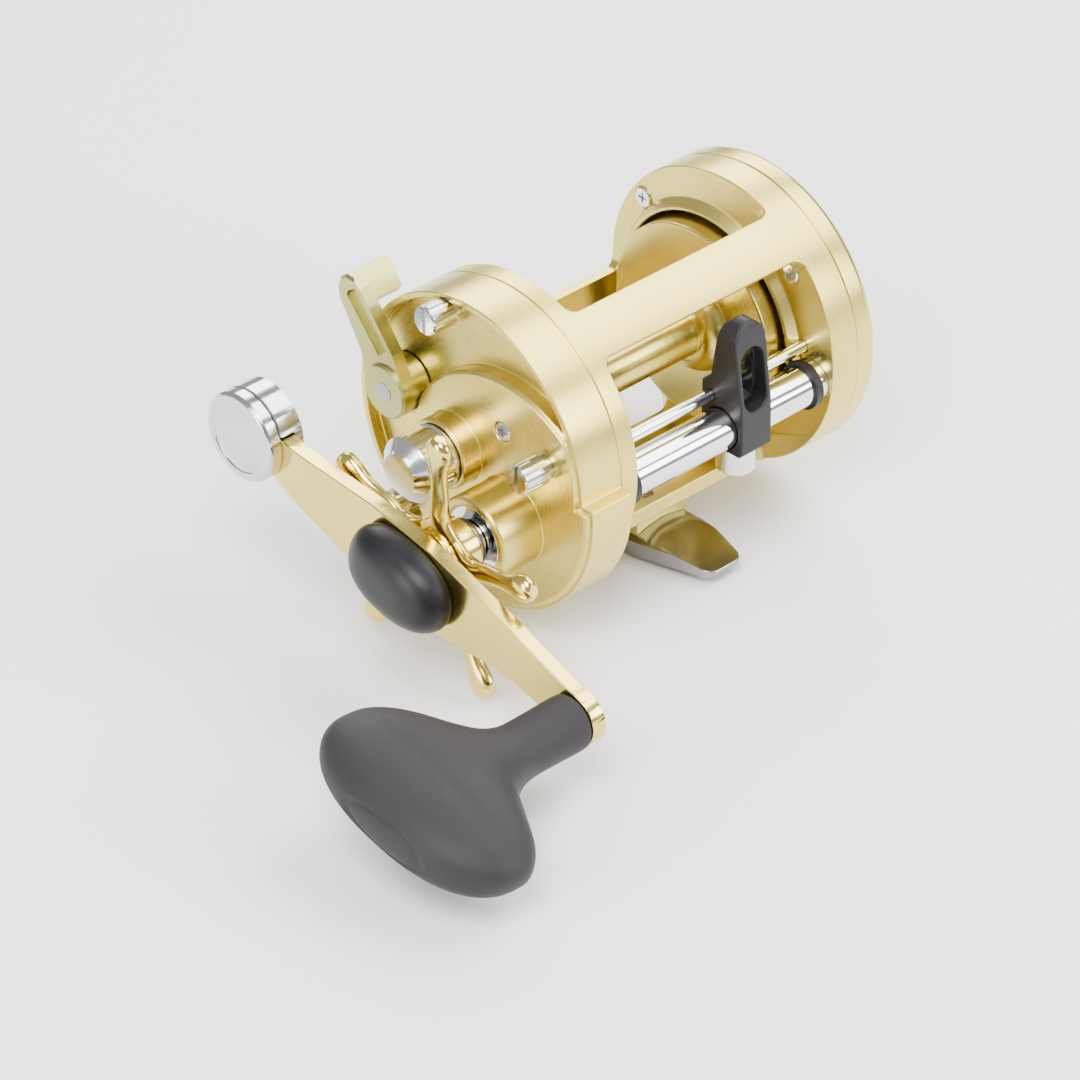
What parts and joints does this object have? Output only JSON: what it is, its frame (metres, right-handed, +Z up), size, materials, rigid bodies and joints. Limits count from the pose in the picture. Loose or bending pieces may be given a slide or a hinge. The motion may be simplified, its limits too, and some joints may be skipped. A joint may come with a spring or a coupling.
{
  "type": "trolling reel",
  "caption": "Round level-wind trolling reel with an aluminium frame, power handle with paddle grip, star drag, line guide and a saddle foot for a rod seat.",
  "frame": {"origin": "crown of the reel foot's underside, midway between the frame's rings", "axes": "+Z up from the rod, +X towards the palm side with the handle at -X, -Y forward where the line leaves"},
  "size_m": [0.1753, 0.135, 0.0742],
  "materials": {
    "gold_body": "satin champagne-gold anodised aluminium",
    "gold_bright": "polished gold anodised aluminium",
    "chrome": "bright chrome",
    "silver_knurled": "knurled nickel",
    "steel": "polished stainless steel",
    "brass": "machined brass",
    "black_plastic": "moulded black nylon",
    "insert_ceramic": "dark polished ring",
    "grip_rubber": "soft dark grey rubber",
    "cover_rubber": "smooth black rubber",
    "drag_fibre": "woven carbon fibre washers"
  },
  "bodies": {
    "root": {"frame": "gold_body", "reel_foot": "steel", "foot_screws": "steel", "gear_plate": "gold_body", "gear_plate_screws": "steel", "handle_side_plate": "gold_body", "palm_side_plate": "gold_body", "palm_plate_screws": "chrome", "housing_screw": "chrome", "thumb_screws": "silver_knurled", "palm_bearing": "steel", "cap_bearing": "steel", "main_shaft_bush": "brass", "roller_clutch_sleeve": "steel", "roller_clutch_rollers": "steel", "roller_clutch_cap_ring": "chrome", "yoke_springs": "steel", "level_wind_tube": "chrome", "guide_rod": "chrome", "tube_collars": "black_plastic", "worm_bushes": "brass"},
    "crank": {"main_shaft": "steel", "main_gear": "brass", "level_wind_drive_gear": "black_plastic", "drag_washers": "drag_fibre", "clutch_inner_tube": "chrome", "star_spring_washers": "steel", "handle_arm": "gold_bright", "handle_nut": "chrome", "nut_lock_screw": "chrome", "nut_cover": "cover_rubber", "counterweight_outer": "chrome", "counterweight_inner": "chrome", "grip_pin": "chrome"},
    "star_drag": {"star_drag_wheel": "gold_bright"},
    "grip": {"grip_body": "grip_rubber", "grip_bush": "brass"},
    "spool": {"spool": "gold_body", "spool_shaft": "steel", "spool_cross_pin": "steel", "spool_brake_collar": "black_plastic", "click_gear": "steel"},
    "brake_weight_upper": {"brake_weight_1": "black_plastic"},
    "brake_weight_lower": {"brake_weight_2": "black_plastic"},
    "yoke": {"clutch_yoke": "brass"},
    "pinion": {"pinion": "brass"},
    "lever": {"clutch_lever": "gold_body", "clutch_cam": "steel", "lever_screw": "steel"},
    "tension_cap": {"spool_tension_cap": "silver_knurled", "tension_shim": "brass"},
    "worm": {"worm_shaft": "steel", "level_wind_worm_gear": "black_plastic"},
    "carriage": {"line_guide": "black_plastic", "line_guide_insert": "insert_ceramic", "line_guide_pawl": "steel", "pawl_cap": "silver_knurled"},
    "click": {"click_button": "silver_knurled", "click_pawl": "steel"}
  },
  "joints": [
    {"name": "crank_turn", "type": "hinge", "parent": "root", "child": "crank", "pos_m": [0, -0.01419, 0.02601], "axis": [1, 0, 0], "continuous": true},
    {"name": "star_drag_turn", "type": "hinge", "parent": "crank", "child": "star_drag", "pos_m": [0, -0.01419, 0.02601], "axis": [1, 0, 0], "range_deg": [-180, 180]},
    {"name": "grip_spin", "type": "hinge", "parent": "crank", "child": "grip", "pos_m": [0, -0.06344, 0.01482], "axis": [1, 0, 0], "continuous": true},
    {"name": "spool_spin", "type": "hinge", "parent": "root", "child": "spool", "pos_m": [0, 0.0029, 0.036], "axis": [1, 0, 0], "continuous": true},
    {"name": "brake_weight_upper_slide", "type": "slide", "parent": "spool", "child": "brake_weight_upper", "axis": [0, 0, 1], "range_m": [0, 0.0006]},
    {"name": "brake_weight_lower_slide", "type": "slide", "parent": "spool", "child": "brake_weight_lower", "axis": [0, 0, -1], "range_m": [0, 0.0006]},
    {"name": "clutch_lever_press", "type": "hinge", "parent": "root", "child": "lever", "pos_m": [0, 0.0209, 0.0426], "axis": [-1, 0, 0], "range_deg": [0, 20]},
    {"name": "yoke_lift", "type": "slide", "parent": "root", "child": "yoke", "axis": [-1, 0, 0], "range_m": [0, 0.0018], "deforming": ["yoke_springs"]},
    {"name": "pinion_spin", "type": "hinge", "parent": "yoke", "child": "pinion", "pos_m": [0, 0.0029, 0.036], "axis": [1, 0, 0], "continuous": true},
    {"name": "tension_cap_turn", "type": "hinge", "parent": "root", "child": "tension_cap", "pos_m": [0, 0.0029, 0.036], "axis": [1, 0, 0], "range_deg": [-180, 180]},
    {"name": "worm_spin", "type": "hinge", "parent": "root", "child": "worm", "pos_m": [0, -0.02815, 0.03384], "axis": [1, 0, 0], "continuous": true},
    {"name": "line_guide_travel", "type": "slide", "parent": "root", "child": "carriage", "axis": [1, 0, 0], "range_m": [-0.0257, 0.0143]},
    {"name": "click_button_slide", "type": "slide", "parent": "root", "child": "click", "axis": [0, 0, -1], "range_m": [0, 0.0014]}
  ],
  "couplings": [
    {"joint": "spool_spin", "follows": "crank_turn", "ratio": -4.5},
    {"joint": "pinion_spin", "follows": "crank_turn", "ratio": -4.5},
    {"joint": "worm_spin", "follows": "crank_turn", "ratio": -2.5556},
    {"joint": "yoke_lift", "follows": "clutch_lever_press", "m_per_rad": 0.0051566}
  ]
}
